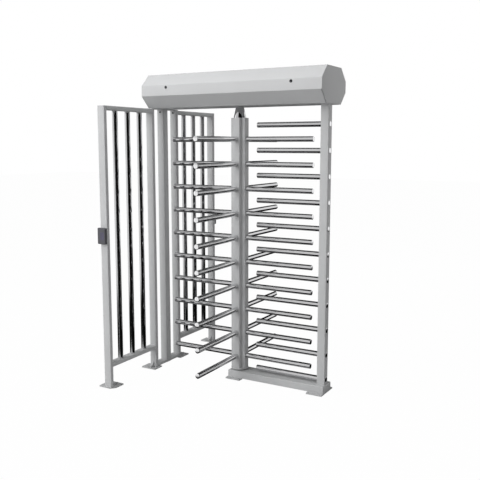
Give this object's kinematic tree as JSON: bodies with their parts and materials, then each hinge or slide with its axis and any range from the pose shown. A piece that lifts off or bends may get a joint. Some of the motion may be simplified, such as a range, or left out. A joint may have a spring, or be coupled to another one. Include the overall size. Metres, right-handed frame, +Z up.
{
  "type": "full-height counting turnstile",
  "caption": "Full-height visitor counting turnstile with a barred rotor, a fixed comb of bars, a guide fence, card readers and an octagonal header.",
  "frame": {"origin": "on the floor, in the middle of the overall footprint", "axes": "X runs along the header from the guide wall to the comb post, -Y faces a person walking in, Z is up"},
  "size_m": [1.523, 1.488, 2.3],
  "materials": {
    "painted_grey": "satin powder coat",
    "polished_stainless": "polished stainless steel tube",
    "zinc_steel": "bright zinc-plated steel",
    "bearing_steel": "ground bearing steel",
    "dark_fastener": "blackened steel",
    "reader_shell": "dark grey satin plastic",
    "reader_window": "dark blue-violet glossy plastic",
    "black_plastic": "black moulded plastic",
    "circuit_board": "green solder mask",
    "aluminium_case": "brushed aluminium",
    "nickel_lock": "dark nickel plate"
  },
  "bodies": {
    "frame": {"base_beam": "painted_grey", "base_foot_plates": "painted_grey", "comb_post": "painted_grey", "comb_bars": "polished_stainless", "comb_bar_plugs": "polished_stainless", "main_post": "painted_grey", "inner_posts": "painted_grey", "end_posts": "painted_grey", "post_caps": "painted_grey", "top_rails": "painted_grey", "bottom_rails": "painted_grey", "guide_bars": "polished_stainless", "side_sills": "painted_grey", "foot_plates": "painted_grey", "foot_gussets": "painted_grey", "head_plates": "painted_grey", "post_screws": "dark_fastener", "reader_back_plates": "painted_grey", "reader_bodies": "reader_shell", "reader_windows": "reader_window", "bottom_bearing_housing": "zinc_steel", "bottom_bearing": "bearing_steel", "header_trough": "painted_grey", "header_saddles": "zinc_steel", "header_bolts": "zinc_steel", "header_rails": "zinc_steel", "mechanism_plate": "zinc_steel", "top_bearing_housing": "zinc_steel", "housing_screws": "zinc_steel", "top_bearing": "bearing_steel", "pawl_pins": "zinc_steel", "solenoids": "black_plastic", "solenoid_brackets": "zinc_steel", "fork_sensor": "black_plastic", "power_supply": "aluminium_case", "board_standoffs": "zinc_steel", "control_board": "circuit_board", "cable_gland": "black_plastic", "lock_keepers": "zinc_steel", "hinge_fixed_leaves": "painted_grey", "hinge_pins": "zinc_steel"},
    "rotor": {"column_core": "painted_grey", "wing_channels": "painted_grey", "rotor_arms": "polished_stainless", "arm_plugs": "polished_stainless", "column_foot_pivot": "zinc_steel", "top_cone": "polished_stainless", "drive_shaft": "zinc_steel", "index_plate": "zinc_steel", "encoder_disc": "aluminium_case"},
    "cover": {"header_lid": "painted_grey", "lid_end_plates": "painted_grey", "lock_barrels": "nickel_lock", "hinge_moving_leaves": "painted_grey"},
    "left_lock": {"left_lock_plug": "nickel_lock"},
    "right_lock": {"right_lock_plug": "nickel_lock"},
    "left_pawl": {"left_pawl": "zinc_steel"},
    "right_pawl": {"right_pawl": "zinc_steel"},
    "left_plunger": {"left_plunger": "zinc_steel"},
    "right_plunger": {"right_plunger": "zinc_steel"}
  },
  "joints": [
    {"name": "rotor_spin", "type": "hinge", "parent": "frame", "child": "rotor", "pos_m": [0.0235, 0, 0], "axis": [0, 0, 1], "continuous": true},
    {"name": "cover_open", "type": "hinge", "parent": "frame", "child": "cover", "pos_m": [0.0235, 0.216, 2.136], "axis": [-1, 0, 0], "range_deg": [0, 95]},
    {"name": "left_lock_turn", "type": "hinge", "parent": "cover", "child": "left_lock", "pos_m": [-0.4895, -0.211, 2.196], "axis": [0, -1, 0], "range_deg": [0, 90]},
    {"name": "right_lock_turn", "type": "hinge", "parent": "cover", "child": "right_lock", "pos_m": [0.5365, -0.211, 2.196], "axis": [0, -1, 0], "range_deg": [0, 90]},
    {"name": "left_pawl_swing", "type": "hinge", "parent": "frame", "child": "left_pawl", "pos_m": [-0.0895, 0.085, 2.175], "axis": [0, 0, 1], "range_deg": [0, 5.3]},
    {"name": "right_pawl_swing", "type": "hinge", "parent": "frame", "child": "right_pawl", "pos_m": [0.1365, -0.085, 2.175], "axis": [0, 0, 1], "range_deg": [0, 5.3]},
    {"name": "left_plunger_slide", "type": "slide", "parent": "frame", "child": "left_plunger", "axis": [1, 0, 0], "range_m": [0, 0.008]},
    {"name": "right_plunger_slide", "type": "slide", "parent": "frame", "child": "right_plunger", "axis": [-1, 0, 0], "range_m": [0, 0.008]}
  ],
  "couplings": [
    {"joint": "left_plunger_slide", "follows": "left_pawl_swing", "m_per_rad": 0.085},
    {"joint": "right_plunger_slide", "follows": "right_pawl_swing", "m_per_rad": 0.085}
  ]
}
